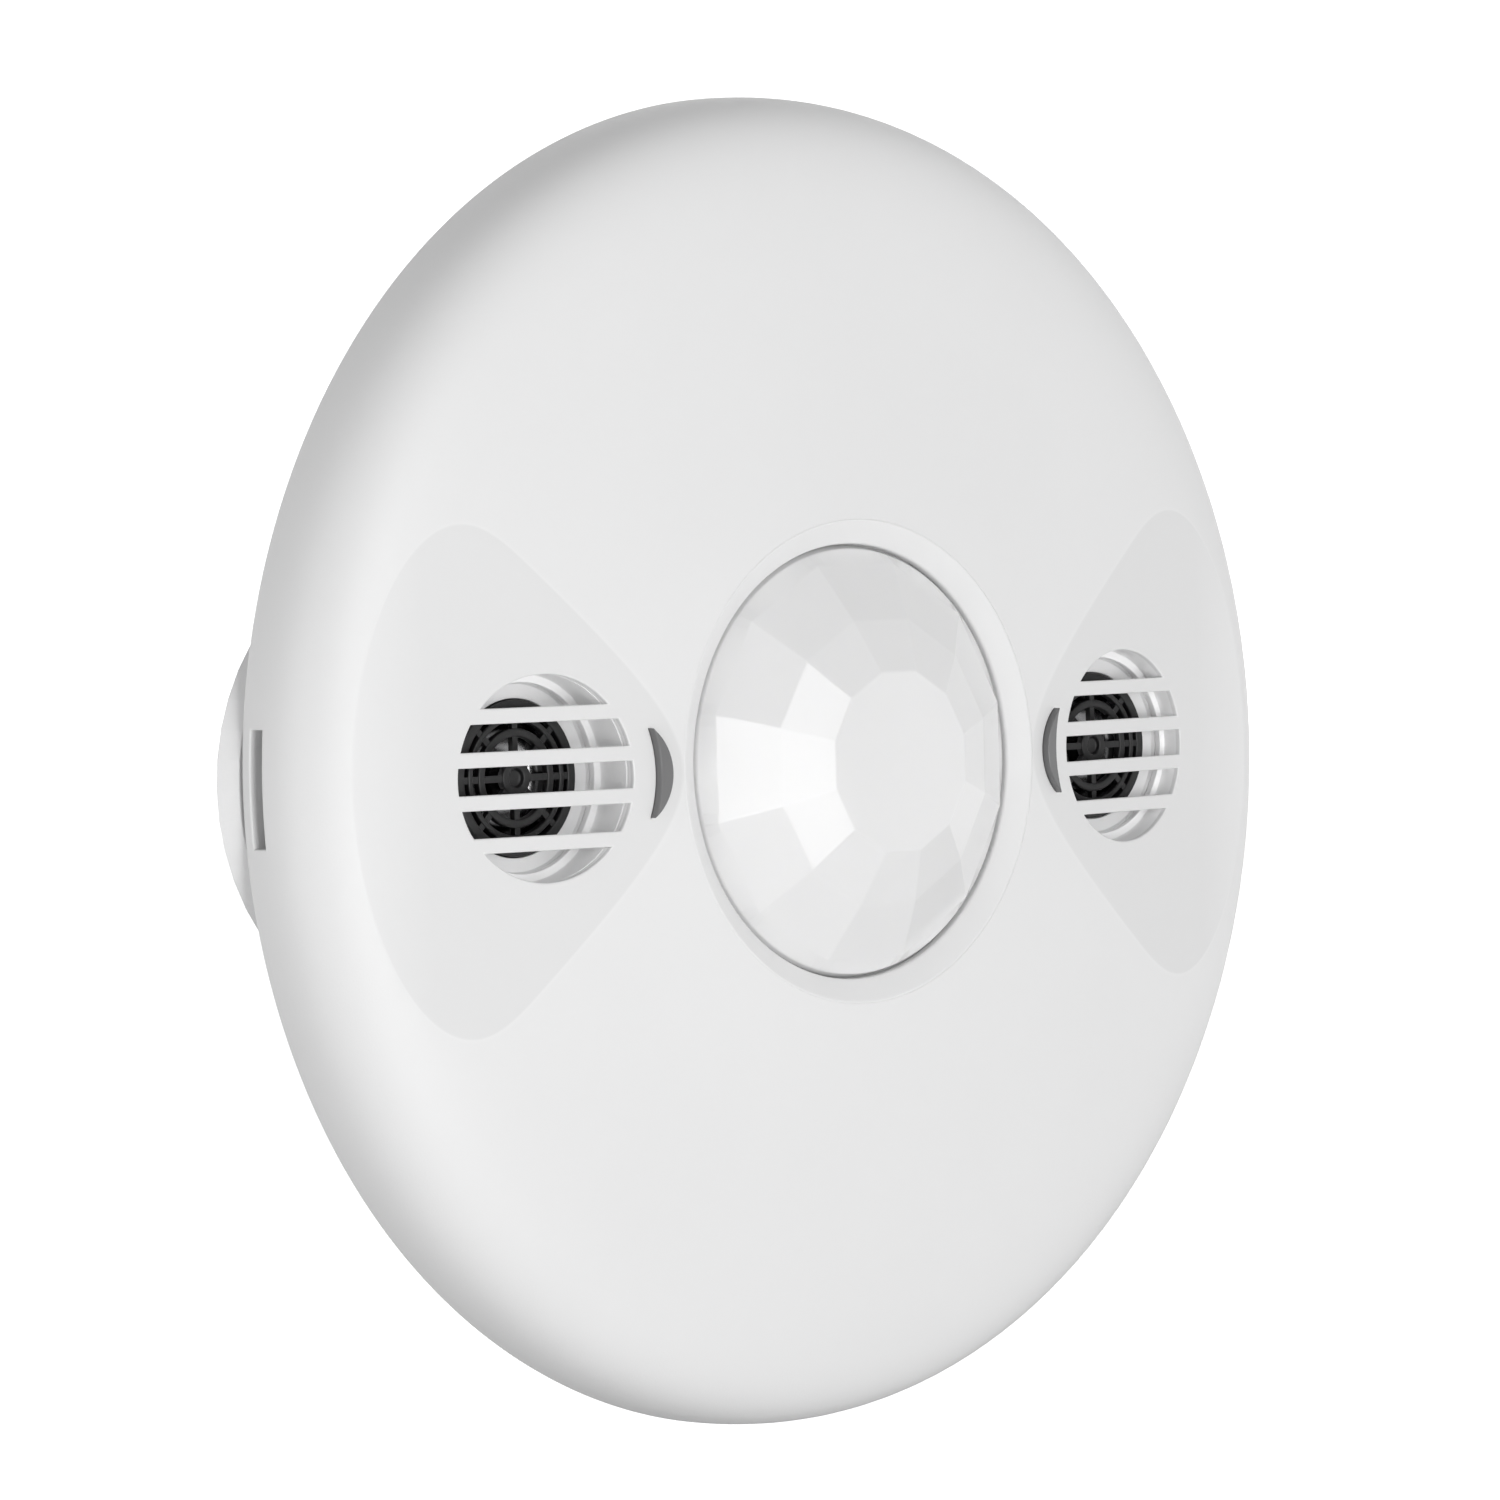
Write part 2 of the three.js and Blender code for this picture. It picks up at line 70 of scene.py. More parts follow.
FLAT_SLOPE = math.tan(math.radians(7.61))
FLAT_BLEND = 0.02
GRILLE_X = 34.14
GRILLE_DEPTH = 10.963
GRILLE_RADIUS = 8.51
GRILLE_ENDS = GRILLE_RADIUS * 0.9999  # keeps the outermost slots just inside the circle
BAR_CENTRES = (-5.25, -1.745, 1.745, 5.25)
BAR_HALF = 0.63
COLLAR = {"inner": GRILLE_RADIUS + 0.04, "outer": GRILLE_RADIUS + 1.1, "back": 7.3, "drop": 1.0}
LEDGE = {"radius": 7.85, "depth": 7.95}  # step at the inner end of each grille's collar
CRESCENT = {"inner": 10.75, "centre": 7.39, "outer": 4.61, "tip_x": 10.07, "tip_z": 3.75}
CRESCENT_PROUD = 0.65  # how far the smoked windows stand out of the flats
CRESCENT_GAP = 0.03
CRESCENT_BACK = 7.3
WINDOW_NEAR, WINDOW_FAR, WINDOW_HALF = 1.1, 2.4, 4.8  # latch windows: two depths, half a length

# ---- cover mesh ----
RIM_POINTS, DISH_POINTS = 480, 240
SKIN_SPACING, QUICK_SPACING = 1.0, 1.5
OUTLINE_SPACING, WINDOW_SPACING = 0.5, 0.45
CREASE_LENGTH = 130
CREASE_SPACING = 0.4
CREASE_ROWS = (-0.7, -0.3, -0.12, 0.0, 0.12, 0.3, 0.7)  # offsets of extra points along each crease

# ---- lens sizes ----
LENS_SIDES = 12
LENS_SAMPLES = 10  # points along each side of a ring
LENS_RINGS = [(7.85, 17.4), (12.4, 15.4), (17.3, 12.5)]  # radius, depth
LENS_NECK = [(18.1, 11.55), (18.45, 10.4)]  # the facets end on a steeper, turned wall
LENS_FLANGE_DEPTH = 10.3
LENS_CAVITY_RADIUS = 16.4
LENS_WALL = {"radius": 0.45, "depth": 0.75}

# ---- transducer sizes ----
SIDES = {"left": 0.0, "right": math.pi}  # turn about Y that takes the left half to each side
TRANSDUCER_RADIUS = 6.45
TRANSDUCER_FACE = 7.2
HOLDER = {"bore": 6.55, "lip_outer": 7.75, "seat_inner": 7.85, "flange": 9.8, "outer": 8.9}
HOLDER_DEPTHS = {"lip": 6.95, "seat": 7.27, "flange_back": 6.2}
SPIDER_RINGS = [(5.6, TRANSDUCER_RADIUS), (4.7, 5.2), (3.4, 4.1)]
SPIDER_THICKNESS = 0.7
HUB = [(0, 0.4), (0.7, 0.35), (0.8, 0), (1.5, 0), (1.5, SPIDER_THICKNESS), (0, SPIDER_THICKNESS)]
SPOKES = 8
SPOKE = {"inner": 1.3, "outer": 5.6, "front": 0.08, "back": 0.62, "half": 0.28}
HORN = [(0, 3.2), (1.1, 3.0), (1.7, 2.7), (5.3, 1.4), (5.5, 1.4), (5.5, 1.6), (1.9, 3.3), (0, 3.5)]
CAN = {"radius": 6.4, "bore": 6.0, "floor": 1.0}

# ---- small metalwork sizes ----
LEAD_PITCH, LEAD_HALF = 1.27, 0.2
LEAD_PARTS = [((-0.1, 0.55), (0.95, 1.15)), ((0.4, 0.6), (0.04, 1.15)), ((0.4, 1.2), (0.04, 0.24))]
THREAD = {"pitch": 0.8, "core": 1.6, "root": 1.88, "crest": 2.2, "start": 1.0, "point": 1.2}

# ---- camera, light and floor ----
CAMERA = {"azimuth": -43.111, "elevation": 1.663, "roll": -1.584, "distance": 541.754}
CAMERA_TARGET = (-1.156, RIM_Y, 0.978)
CAMERA_LENS, CAMERA_SENSOR = 150.65, 36.0
KEY_LIGHT = {"aim": (-0.153, -0.985, -0.026), "distance": 0.75, "size": (0.40, 0.72), "power": 3.75}
SIDE_LIGHT = {"aim": (-1, -0.1, 0), "distance": 0.8, "size": (0.4, 1.0), "power": 2.0}
WORLD_STRENGTH = 1.06
WORLD_LOBES = [  # direction, and how much the surround dims there; the negative one brightens it
    ((-0.65, -0.3, 0.7), 0.75),
    ((-0.65, -0.3, -0.7), 1.0),
    ((0, -0.2, 1), 0.5),
    ((0.7, -0.7, 0), 0.5),
    ((0, -0.2, -1), 0.5),
    ((0.68, 0.73, -0.03), -0.35),
    ((-0.8, -0.55, 0), 0.5),
]
FLOOR_HALF, FLOOR_HEIGHT = 8.0, -0.42
FLOOR_GREY = (0.53, 0.53, 0.53, 1)
FLOOR_GLOW = (1.1, 2.2, 0.0, 1.0)  # near and far distance, and the glow at each

# ---- colours and finishes ----
WHITE = (0.80, 0.80, 0.803)
PAINTED_LIGHT_WHITE = (0.97, 0.97, 0.972)  # painted light: a brighter white inside the grilles' collars, whose walls lie in shade
TRACK_GREEN = (0.03, 0.24, 0.10, 1)
TUBE_START = 0.5  # distance below the flats where the painted light, a brighter white, begins
TUBE_EDGE = GRILLE_RADIUS + 0.1
TUBE_FADE = 0.1
# Painted shade darkens the flats, and a painted highlight lightens a thin line just off their creases.
CREASE_WIDTH = 0.03
FLAT_SHADE_FADE_START, FLAT_SHADE_FADE_RATE = 40.0, 0.0011  # the flats' painted shade fades out from there towards the rim
FLAT_PAINTED_SHADE_AND_HIGHLIGHT = [(0.0, 0.925), (0.2, 0.93), (0.45, 1.0), (1.0, 0.985)]
# Painted shade: the horn's metal is darkened at its centre and outside its throat.
HORN_REACH = 4.0
HORN_PAINTED_SHADE_TONES = [(0.0, 0.02), (0.36, 0.02), (0.42, 1.0), (0.85, 1.0), (1.0, 0.02)]
MOTTLE_SCALE, GLOSS_SCALE, GRAIN_SCALE = 60.0, 900.0, 5000.0
GRAIN_DEPTH, TRACK_DEPTH = 0.0002, 0.0001

PLAIN_LOOKS = {  # colour, roughness and the finish's other settings
    "white_plastic": (WHITE, 0.46, {"grain": 0.05, "mottle": 0.006}),
    "lens_plastic": ((0.80, 0.80, 0.802), 0.13, {
        "grain": 0.01, "mottle": 0.012, "Specular_IOR_Level": 0.42, "Subsurface_Weight": 0.35,
        "Subsurface_Radius": (0.0012, 0.0012, 0.0011)}),
    "smoked_plastic": ((0.17, 0.17, 0.172), 0.22, {"mottle": 0.08}),
    "led_resin": ((0.78, 0.80, 0.82), 0.12, {"mottle": 0.05, "Transmission_Weight": 0.6}),
    "black_plastic": ((0.012, 0.012, 0.0125), 0.38, {"grain": 0.08, "mottle": 0.15}),
    "dark_metal": ((0.035, 0.035, 0.037), 0.3, {"metallic": 0.9, "mottle": 0.1}),
    "bright_metal": ((0.74, 0.74, 0.75), 0.2, {"metallic": 1.0, "mottle": 0.04}),
    "blue_plastic": ((0.02, 0.08, 0.33), 0.4, {"mottle": 0.06}),
    "ivory_plastic": ((0.72, 0.68, 0.58), 0.42, {"mottle": 0.03}),
    "red_plastic": ((0.40, 0.02, 0.018), 0.38, {"mottle": 0.05}),
    "relay_plastic": ((0.03, 0.13, 0.40), 0.3, {"mottle": 0.04}),
    "green_plastic": ((0.05, 0.27, 0.07), 0.42, {"mottle": 0.05}),
    "tinned_copper": ((0.66, 0.65, 0.62), 0.28, {"metallic": 1.0, "mottle": 0.06}),
}

ADJUSTMENTS = ("time_delay", "pir_sensitivity", "ultrasonic_sensitivity", "light_level")
KEPT_NODES = {
    "white_plastic": ["lens_retainer", "mounting_base", "snap_latch_left", "snap_latch_right"],
    "black_plastic": ["control_chip", "amplifier_chip", "filter_capacitor_1", "filter_capacitor_2",
                      "transducer_pin_base_left", "transducer_pin_base_right"],
    "dark_metal": ["pir_detector_window"],
    "bright_metal": ["pir_detector_can", "mounting_screw_top", "mounting_screw_bottom"]
    + [f"board_screw_{i}" for i in range(1, 5)] + [f"terminal_screw_{i}" for i in range(1, 5)],
    "circuit_board": ["main_board"],
    "blue_plastic": [name + "_trimpot" for name in ADJUSTMENTS],
    "ivory_plastic": [name + "_rotor" for name in ADJUSTMENTS]
    + [f"dip_slider_{i}" for i in range(1, 5)] + ["pir_detector_spacer"],
    "red_plastic": ["dip_switch_housing", "light_detector"],
    "relay_plastic": ["relay"],
    "green_plastic": ["terminal_block"],
    "led_resin": ["indicator_led_left", "indicator_led_right"],
}


def at(depth):
    return RIM_Y - depth


def flat_depth(x):
    """Depth of the tilted flats at a distance x to the left or right of the axis."""
    return GRILLE_DEPTH - (abs(x) - GRILLE_X) * FLAT_SLOPE


# ---- node trees ----
class Tree:
    """The node tree of a material or world, with short ways to add nodes and join them."""

    def __init__(self, owner):
        owner.use_nodes = True
        self.nodes, self.links = owner.node_tree.nodes, owner.node_tree.links

    def feed(self, socket, value):
        """Links a socket to another node's output, or gives it a constant."""
        if isinstance(value, bpy.types.NodeSocket):
            self.links.new(value, socket)
        else:
            socket.default_value = value

    def add(self, kind, inputs, **settings):
        node = self.nodes.new("ShaderNode" + kind)
        for name, value in settings.items():
            setattr(node, name, value)
        for key, value in inputs.items():
            self.feed(node.inputs[key], value)
        return node

    def calculate(self, operation, first, second=0.0):
        return self.add("Math", {0: first, 1: second}, operation=operation).outputs["Value"]

    def place(self, kind="Object"):
        return self.add("TexCoord", {}).outputs[kind]

    def ranged(self, value, low, high, start=0.0, end=1.0, **settings):
        inputs = {"Value": value, "From Min": low, "From Max": high, "To Min": start, "To Max": end}
        return self.add("MapRange", inputs, **settings).outputs["Result"]

    def noise(self, scale, detail=2.0):
        inputs = {"Vector": self.place(), "Scale": scale, "Detail": detail}
        return self.add("TexNoise", inputs).outputs["Fac"]

    def ramp(self, value, stops):
        """A colour ramp with one stop for each (position, colour)."""
        node = self.add("ValToRGB", {"Fac": value})
        elements = node.color_ramp.elements
        while len(elements) < len(stops):
            elements.new(0.5)
        for element, (position, color) in zip(elements, stops):
            element.position = position
            element.color = color
        return node.outputs["Color"]

    def mixed(self, factor, first, second, blend="MIX"):
        inputs = {"Factor": factor, "A": first, "B": second}
        return self.add("Mix", inputs, data_type="RGBA", blend_type=blend).outputs["Result"]

    def bump(self, height, strength, distance):
        inputs = {"Height": height, "Strength": strength, "Distance": distance}
        return self.add("Bump", inputs).outputs["Normal"]


# ---- camera, light and floor ----
def make_camera():
    azimuth, elevation, roll = (math.radians(CAMERA[k]) for k in ("azimuth", "elevation", "roll"))
    back = Vector((math.sin(azimuth) * math.cos(elevation),
                   -math.cos(azimuth) * math.cos(elevation), math.sin(elevation)))
    right = (-back).cross(Vector((0, 0, 1))).normalized()
    up = right.cross(-back)
    turned_right = math.cos(roll) * right + math.sin(roll) * up
    turned_up = -math.sin(roll) * right + math.cos(roll) * up
    data = bpy.data.cameras.new("camera")
    data.sensor_width, data.lens = CAMERA_SENSOR, CAMERA_LENS
    data.clip_start, data.clip_end = 0.01, 50
    camera = bpy.data.objects.new("camera", data)
    camera.matrix_world = Matrix((turned_right, turned_up, back)).transposed().to_4x4()
    camera.location = Vector(CAMERA_TARGET) * MM + back * CAMERA["distance"] * MM
    bpy.context.scene.collection.objects.link(camera)
    bpy.context.scene.camera = camera


def area_light(name, aim, distance, size, power):
    data = bpy.data.lights.new(name, "AREA")
    data.shape, data.size, data.size_y = "RECTANGLE", size[0], size[1]
    data.energy = power
    light = bpy.data.objects.new(name, data)
    towards = Vector(aim).normalized()
    light.location = towards * distance
    light.rotation_mode = "QUATERNION"
    light.rotation_quaternion = towards.to_track_quat("Z", "Y")
    bpy.context.scene.collection.objects.link(light)


def make_world():
    """Bright studio surround, dimmer in front of the sensor and brighter behind it."""
    world = bpy.data.worlds.new("studio")
    bpy.context.scene.world = world
    tree = Tree(world)
    level = WORLD_STRENGTH
    for aim, dimming in WORLD_LOBES:
        inputs = {0: tree.place("Generated"), 1: Vector(aim).normalized()}
        facing = tree.add("VectorMath", inputs, operation="DOT_PRODUCT").outputs["Value"]
        lobe = tree.ranged(facing, 0, 1, 1, 1 - dimming, interpolation_type="SMOOTHSTEP")
        level = tree.calculate("MULTIPLY", level, lobe)
    background = tree.nodes["Background"]
    background.inputs["Color"].default_value = (1, 1, 1, 1)
    tree.feed(background.inputs["Strength"], level)


def floor_paint():
    """Matt pale grey that glows more with distance, so that no horizon shows."""
    paint = bpy.data.materials.new("floor_white")
    tree = Tree(paint)
    shader = tree.nodes["Principled BSDF"]
    shader.inputs["Base Color"].default_value = FLOOR_GREY
    shader.inputs["Roughness"].default_value = 0.9
    shader.inputs["Emission Color"].default_value = (1, 1, 1, 1)
    away = tree.add("VectorMath", {0: tree.place()}, operation="LENGTH").outputs["Value"]
    tree.feed(shader.inputs["Emission Strength"], tree.ranged(away, *FLOOR_GLOW))
    return paint


def make_stage():
    bpy.context.scene.view_settings.view_transform = "Standard"
    make_world()
    area_light("key", **KEY_LIGHT)
    area_light("side", **SIDE_LIGHT)
    mesh = bpy.data.meshes.new("floor")
    corners = [(-1, -1), (1, -1), (1, 1), (-1, 1)]
    points = [(x * FLOOR_HALF, y * FLOOR_HALF, FLOOR_HEIGHT) for x, y in corners]
    mesh.from_pydata(points, [], [(0, 1, 2, 3)])
    mesh.materials.append(floor_paint())
    floor = bpy.data.objects.new("floor", mesh)
    bpy.context.scene.collection.objects.link(floor)


# ---- materials ----
def moulded(name, color, roughness, grain=0.02, mottle=0.02, metallic=0.0, **extra):
    """Plastic or metal with faint mottling, uneven gloss and a fine moulded grain."""
    material = bpy.data.materials.new(name)
    tree = Tree(material)
    shader = tree.nodes["Principled BSDF"]
    shader.inputs["Metallic"].default_value = metallic
    for socket, value in extra.items():
        shader.inputs[socket.replace("_", " ")].default_value = value
    stops = [(position, [min(1.0, c * factor) for c in color] + [1.0])
             for position, factor in ((0.3, 1 - mottle), (0.7, 1 + mottle))]
    tree.feed(shader.inputs["Base Color"], tree.ramp(tree.noise(MOTTLE_SCALE, 3.0), stops))
    gloss = tree.ranged(tree.noise(GLOSS_SCALE), 0.3, 0.7, roughness * 0.9, roughness * 1.1)
    tree.feed(shader.inputs["Roughness"], gloss)
    if grain:
        bump = tree.bump(tree.noise(GRAIN_SCALE, 3.0), grain, GRAIN_DEPTH)
        tree.feed(shader.inputs["Normal"], bump)
    return material


def tinted(material, measure, low, high, stops):
    """Multiplies the base colour by grey stops along a measure that runs from low to high."""
    tree = Tree(material)
    greys = [(position, (grey, grey, grey, 1)) for position, grey in stops]
    tint = tree.ramp(tree.ranged(measure, low, high), greys)
    base = tree.nodes["Principled BSDF"].inputs["Base Color"]
    tree.feed(base, tree.mixed(1.0, base.links[0].from_socket, tint, "MULTIPLY"))
    return material


def grille_distance(tree):
    """Distance from the nearer grille's axis."""
    split = tree.add("SeparateXYZ", {"Vector": tree.place()})
    out = tree.calculate("ABSOLUTE", split.outputs["X"])
    across = tree.calculate("SUBTRACT", out, GRILLE_X * MM)
    wide = tree.calculate("MULTIPLY", across, across)
    tall = tree.calculate("MULTIPLY", split.outputs["Z"], split.outputs["Z"])
    return tree.calculate("SQRT", tree.calculate("ADD", wide, tall))


def cover_plastic():
    """White plastic with painted shade on the two flats, a painted highlight along their creases, and painted
    light making it brighter inside the grilles' collars.
    """
    material = moulded("cover_plastic", PAINTED_LIGHT_WHITE, 0.46, grain=0.05, mottle=0.006)
    tree = Tree(material)
    # painted shade on the flats, fading out towards the rim, with a painted highlight beside their creases
    split = tree.add("SeparateXYZ", {"Vector": tree.place()})
    out = tree.calculate("ABSOLUTE", split.outputs["X"])
    plane = tree.calculate("ADD", tree.calculate("MULTIPLY", out, FLAT_SLOPE), at(flat_depth(0)) * MM)
    below = tree.calculate("ABSOLUTE", tree.calculate("SUBTRACT", plane, split.outputs["Y"]))
    past = tree.calculate("MAXIMUM", tree.calculate("SUBTRACT", out, FLAT_SHADE_FADE_START * MM))
    faded = tree.calculate("ADD", tree.calculate("MULTIPLY", past, FLAT_SHADE_FADE_RATE), below)
    tinted(material, faded, 0.0, CREASE_WIDTH * MM, FLAT_PAINTED_SHADE_AND_HIGHLIGHT)
    # painted light: a brighter white inside the grilles' collars, deeper than TUBE_START below the flats
    shallow = tree.calculate("MAXIMUM", tree.calculate("SUBTRACT", TUBE_START * MM, below))
    outside = tree.calculate("MULTIPLY", shallow, 20.0)
    reach = tree.calculate("ADD", grille_distance(tree), outside)
    collar_painted_light_tones = [(0.0, 1.0), (1.0, WHITE[0] / PAINTED_LIGHT_WHITE[0])]
    return tinted(material, reach, TUBE_EDGE * MM, (TUBE_EDGE + TUBE_FADE) * MM, collar_painted_light_tones)


def cone_metal():
    """Bright horn metal, darkened by painted shade at its centre and outside its throat."""
    material = moulded("cone_metal", (0.8, 0.8, 0.81), 0.2, metallic=1.0, mottle=0.04)
    return tinted(material, grille_distance(Tree(material)), 0.0, HORN_REACH * MM, HORN_PAINTED_SHADE_TONES)


def circuit_board():
    """Green solder mask over copper tracks, with the tracks just showing as lighter, raised lines."""
    material = moulded("circuit_board", (0.01, 0.12, 0.05), 0.3, grain=0.0, mottle=0.08)
    tree = Tree(material)
    shader = tree.nodes["Principled BSDF"]
    upright = {"Vector": tree.place(), "Rotation": (math.radians(90), 0, 0)}
    rows = {"Vector": tree.add("Mapping", upright).outputs["Vector"], "Scale": 100.0,
            "Mortar Size": 0.03, "Mortar Smooth": 0.2, "Brick Width": 0.83, "Row Height": 0.21}
    tracks = tree.add("TexBrick", rows).outputs["Fac"]
    base = shader.inputs["Base Color"]
    tree.feed(base, tree.mixed(tracks, base.links[0].from_socket, TRACK_GREEN))
    tree.feed(shader.inputs["Normal"], tree.bump(tracks, 0.25, TRACK_DEPTH))
    return material


def make_materials():
    looks = {name: moulded(name, color, roughness, **finish)
             for name, (color, roughness, finish) in PLAIN_LOOKS.items()}
    looks["cover_plastic"] = cover_plastic()
    looks["cone_metal"] = cone_metal()
    looks["circuit_board"] = circuit_board()
    return looks


# ---- mesh building ----
class Shape:
    """Points in millimetres and faces, gathered shell by shell."""

    def __init__(self):
        self.points, self.faces = [], []

    def add(self, points, faces, move=None):
        start = len(self.points)
        moved = [move @ Vector(p) for p in points] if move else points
        self.points += [tuple(p) for p in moved]
        self.faces += [tuple(i + start for i in face) for face in faces]
        return self

    def thing(self, name):
        mesh = bpy.data.meshes.new(name)
        mesh.from_pydata([tuple(c * MM for c in p) for p in self.points], [], self.faces)
        mesh.validate()
        thing = bpy.data.objects.new(name, mesh)
        bpy.context.scene.collection.objects.link(thing)
        return thing


def shift(x=0.0, y=0.0, z=0.0):
    return Matrix.Translation((x, y, z))


def turn(angle):
    return Matrix.Rotation(angle, 4, "Y")


def bevel(thing, width, segments=2, angle=35):
    modifier = thing.modifiers.new("rounded_edges", "BEVEL")
    modifier.width, modifier.segments = width * MM, segments
    modifier.limit_method, modifier.angle_limit = "ANGLE", math.radians(angle)


def piece(thing, body, look, node=None, rounding=0.0, angle=35):
    """Finishes a new piece: its material, edges, body, and the CAD node it stands for."""
    thing.data.materials.clear()
    thing.data.materials.append(LOOKS[look])
    thing.data.shade_smooth()
    thing.data.set_sharp_from_angle(angle=math.radians(angle))
    if rounding:
        bevel(thing, rounding)
    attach(thing, body)
    if node:
        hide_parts(node)
    return thing


def dress(node, look, rounding=0.12):
    """Gives a kept CAD node its material and slightly rounded edges."""
    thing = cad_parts[node]
    thing.data.materials.clear()
    thing.data.materials.append(LOOKS[look])
    weld = thing.modifiers.new("shared_corners", "WELD")
    weld.merge_threshold = 0.001 * MM
    bevel(thing, rounding)


def outward(points, faces):
    """Turns every face round if the shell encloses a negative volume."""
    volume = 0.0
    for face in faces:
        a = Vector(points[face[0]])
        for i in range(1, len(face) - 1):
            volume += a.dot(Vector(points[face[i]]).cross(Vector(points[face[i + 1]])))
    return (points, faces) if volume > 0 else (points, [face[::-1] for face in faces])


def revolve(profile, sides=96):
    """Closed body of (radius, y) points about the Y axis; a radius of 0 is a pole."""
    points, rings = [], []
    for radius, y in profile:
        if radius == 0:
            rings.append([len(points)] * sides)
            points.append((0.0, y, 0.0))
            continue
        rings.append(list(range(len(points), len(points) + sides)))
        for i in range(sides):
            angle = 2 * math.pi * i / sides
            points.append((radius * math.cos(angle), y, radius * math.sin(angle)))
    faces = []
    pairs = list(zip(rings, rings[1:]))
    if profile[0][0] and profile[-1][0]:
        pairs.append((rings[-1], rings[0]))
    for low, high in pairs:
        for i in range(sides):
            j = (i + 1) % sides
            corners = [low[i], high[i], high[j], low[j]]
            face = [c for k, c in enumerate(corners) if c != corners[k - 1]]
            if len(face) > 2:
                faces.append(face)
    return outward(points, faces)


def rounded(corner_points, radius, steps=3):
    """A (radius, y) profile with its corners cut by short arcs, leaving those on the axis alone."""
    result = []
    count = len(corner_points)
    for i, point in enumerate(corner_points):
        p = Vector(point)
        before, after = Vector(corner_points[i - 1]), Vector(corner_points[(i + 1) % count])
        to_before, to_after = before - p, after - p
        room = min(to_before.length, to_after.length) / 2.1
        reach = min(radius, room)
        if p.x == 0 or reach < 1e-4:
            result.append(tuple(p))
            continue
        start, end = p + to_before.normalized() * reach, p + to_after.normalized() * reach
        for k in range(steps + 1):
            t = k / steps
            result.append(tuple(start * (1 - t) ** 2 + p * (2 * t * (1 - t)) + end * t ** 2))
    return result


def box_shell(x, y, z):
    points = [(x[i], y[j], z[k]) for i in (0, 1) for j in (0, 1) for k in (0, 1)]
    faces = [(0, 1, 3, 2), (4, 6, 7, 5), (0, 4, 5, 1), (2, 3, 7, 6), (0, 2, 6, 4), (1, 5, 7, 3)]
    return outward(points, faces)


def prism(outline, y_low, y_high):
    """An (x, z) outline extruded along Y."""
    count = len(outline)
    points = [(x, y, z) for y in (y_low, y_high) for x, z in outline]
    faces = [tuple(range(count)), tuple(range(2 * count - 1, count - 1, -1))]
    faces += [(i, i + count, (i + 1) % count + count, (i + 1) % count) for i in range(count)]
    return outward(points, faces)


def arc(centre, radius, start, end, steps):
    angles = [start + (end - start) * i / steps for i in range(steps + 1)]
    return [(centre[0] + radius * math.cos(a), centre[1] + radius * math.sin(a)) for a in angles]


# ---- front cover: the dome unrolled into a plane ----
def bezier(t):
    p = np.array(SHOULDER)
    t = np.asarray(t)[:, None]
    return (1 - t) ** 3 * p[0] + 3 * (1 - t) ** 2 * t * p[1] + 3 * (1 - t) * t ** 2 * p[2] + t ** 3 * p[3]


class Dome:
    """The cover's turned outer surface, unrolled: a place is (reach, angle), reach grows to the rim."""

    def __init__(self):
        slope = (CROWN_DEPTH - SHOULDER[0][1]) / (SHOULDER[0][0] - DISH_RADIUS)
        crown = np.array([(r, CROWN_DEPTH - (r - DISH_RADIUS) * slope)
                          for r in np.linspace(DOME_START, SHOULDER[0][0], 200)])
        line = np.concatenate([crown, bezier(np.linspace(0, 1, 400))[1:]])
        steps = np.hypot(*np.diff(line, axis=0).T)
        self.radius, self.depth = line[:, 0], line[:, 1]
        self.reach = DOME_START + np.concatenate([[0], np.cumsum(steps)])
        self.end = self.reach[-1]
        along = np.gradient(line, self.reach, axis=0)
        self.lean = along / np.hypot(along[:, 0], along[:, 1])[:, None]

    def from_plan(self, points):
        points = np.asarray(points, float)
        r = np.hypot(points[:, 0], points[:, 1])
        reach = np.interp(r, self.radius, self.reach)
        return points * (reach / r)[:, None]

    def from_skirt(self, points):
        """(depth, z) places on the skirt at 9 o'clock."""
        places = []
        for depth, z in points:
            reach = np.interp(-depth, -self.depth, self.reach)
            angle = math.pi - math.asin(z / COVER_RADIUS)
            places.append((reach * math.cos(angle), reach * math.sin(angle)))
        return np.array(places)

    def surface(self, places, drop=0.0):
        """3-D points for unrolled places, pushed in by drop along the dome's normal."""
        reach = np.hypot(places[:, 0], places[:, 1])
        cosine, sine = places[:, 0] / reach, places[:, 1] / reach
        r, d = np.interp(reach, self.reach, self.radius), np.interp(reach, self.reach, self.depth)
        out_r = -np.interp(reach, self.reach, self.lean[:, 1])
        out_d = np.interp(reach, self.reach, self.lean[:, 0])
        flat = flat_depth(r * cosine)
        closeness = np.clip(FLAT_BLEND - np.abs(d - flat), 0, None) / FLAT_BLEND
        d = np.minimum(d, flat) - closeness ** 2 * FLAT_BLEND / 4
        r, d = r - out_r * drop, d - out_d * drop
        return np.stack([r * cosine, RIM_Y - d, r * sine], axis=1)

    def above_flat(self, x, z):
        """True where the dome would stand above the left flat, so that the flat cuts it."""
        r = math.hypot(x, z)
        return r > DOME_START and np.interp(r, self.radius, self.depth, right=-9) > flat_depth(x)

    def crease(self, spacing):
        """Plan points on the edge of the left flat, each found by halving a span from the grille."""
        points = []
        for angle in np.linspace(0, 2 * math.pi, int(CREASE_LENGTH / spacing), endpoint=False):
            low, high = 0.0, 60.0
            for _ in range(40):
                middle = (low + high) / 2
                x, z = -GRILLE_X + middle * math.cos(angle), middle * math.sin(angle)
                low, high = (middle, high) if self.above_flat(x, z) else (low, middle)
            points.append((-GRILLE_X + low * math.cos(angle), low * math.sin(angle)))
        return np.array(points)


